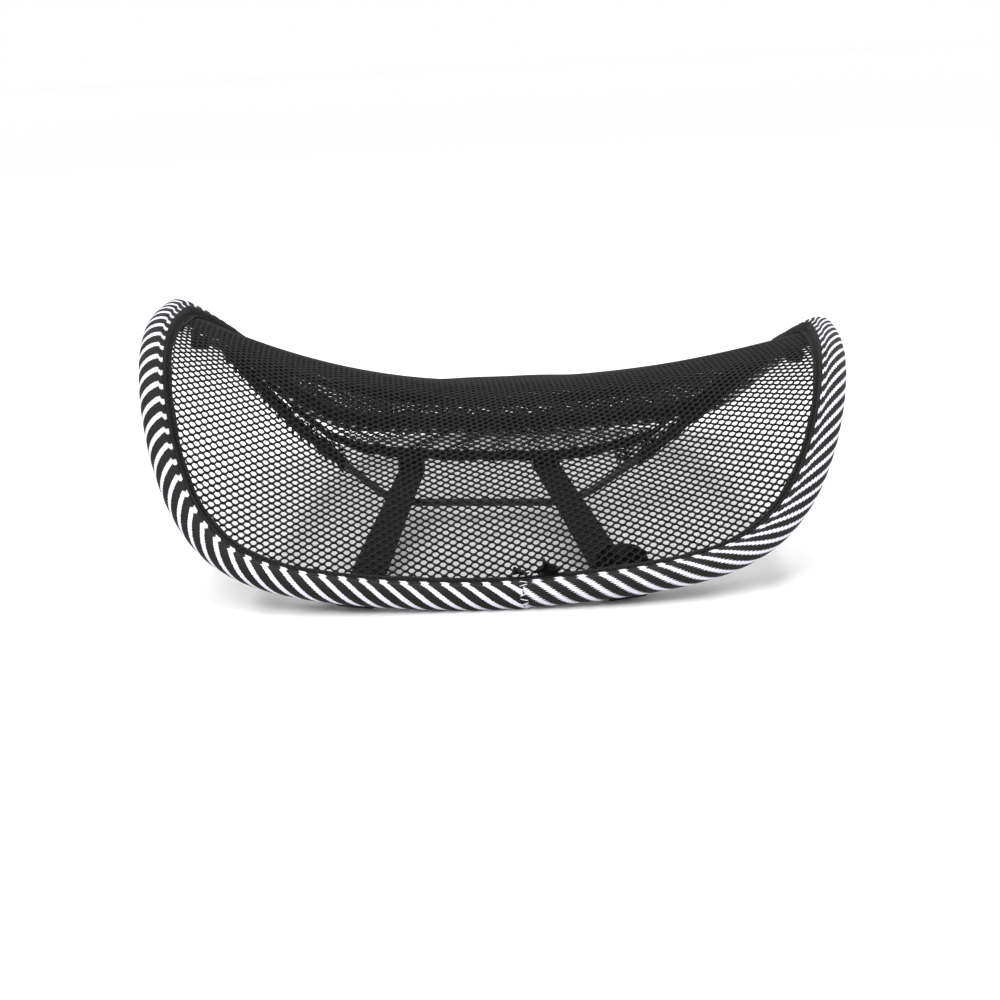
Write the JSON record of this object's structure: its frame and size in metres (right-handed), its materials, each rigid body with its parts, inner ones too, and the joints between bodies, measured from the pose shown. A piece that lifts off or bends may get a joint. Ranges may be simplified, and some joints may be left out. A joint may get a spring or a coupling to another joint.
{
  "type": "mesh lumbar back support",
  "caption": "Saddle-shaped mesh back support: padded striped rim, mesh panel, swinging support wire with an upright mesh web and elastic straps.",
  "frame": {"origin": "middle of the footprint, on the surface the support lies on", "axes": "+Z towards the person's side, X from tip to tip, straps on the -Y side"},
  "size_m": [0.3915, 0.398, 0.1324],
  "materials": {
    "spring_steel": "bright drawn spring steel wire",
    "ferrule_steel": "zinc plated crimp",
    "foam": "closed-cell foam tube, matt",
    "striped_sleeve": "woven sleeve in black and off-white slanting stripes",
    "white_thread": "white sewing thread",
    "binding_tape": "black twill binding tape",
    "mesh": "open black hexagonal knit mesh",
    "webbing": "black ribbed elastic webbing",
    "tab_cloth": "matt black folded cloth",
    "coated_wire": "black dip-coated steel wire",
    "cap_rubber": "black moulded end cap",
    "black_thread": "black bar tacks"
  },
  "bodies": {
    "rim": {"rim_wire": "spring_steel", "rim_wire_ferrule": "ferrule_steel", "rim_foam": "foam", "rim_sleeve": "striped_sleeve", "sleeve_seam_stitches": "white_thread", "edge_tape_top": "binding_tape", "edge_tape_bottom": "binding_tape", "main_mesh": "mesh", "wire_loop_left": "webbing", "wire_loop_right": "webbing", "strap_tab_left": "tab_cloth", "strap_tab_right": "tab_cloth", "strap_rim_stitches": "black_thread", "strap_left": "webbing", "strap_right": "webbing"},
    "support": {"support_wire": "coated_wire", "wire_end_cap_left": "cap_rubber", "wire_end_cap_right": "cap_rubber", "arm_casing_left": "mesh", "arm_casing_right": "mesh", "back_mesh": "mesh", "back_mesh_lower_hem": "binding_tape", "back_mesh_upper_hem": "binding_tape", "strap_hem_stitches": "black_thread"}
  },
  "joints": [
    {"name": "support_wire_swing", "type": "hinge", "parent": "rim", "child": "support", "pos_m": [-0.174, -0.006, 0.10752], "axis": [0.9982, 0, -0.0606], "range_deg": [0, 30], "stiffness_Nm_per_rad": 0.25, "springref_deg": -6.88, "deforming": ["strap_left", "strap_right"]}
  ]
}
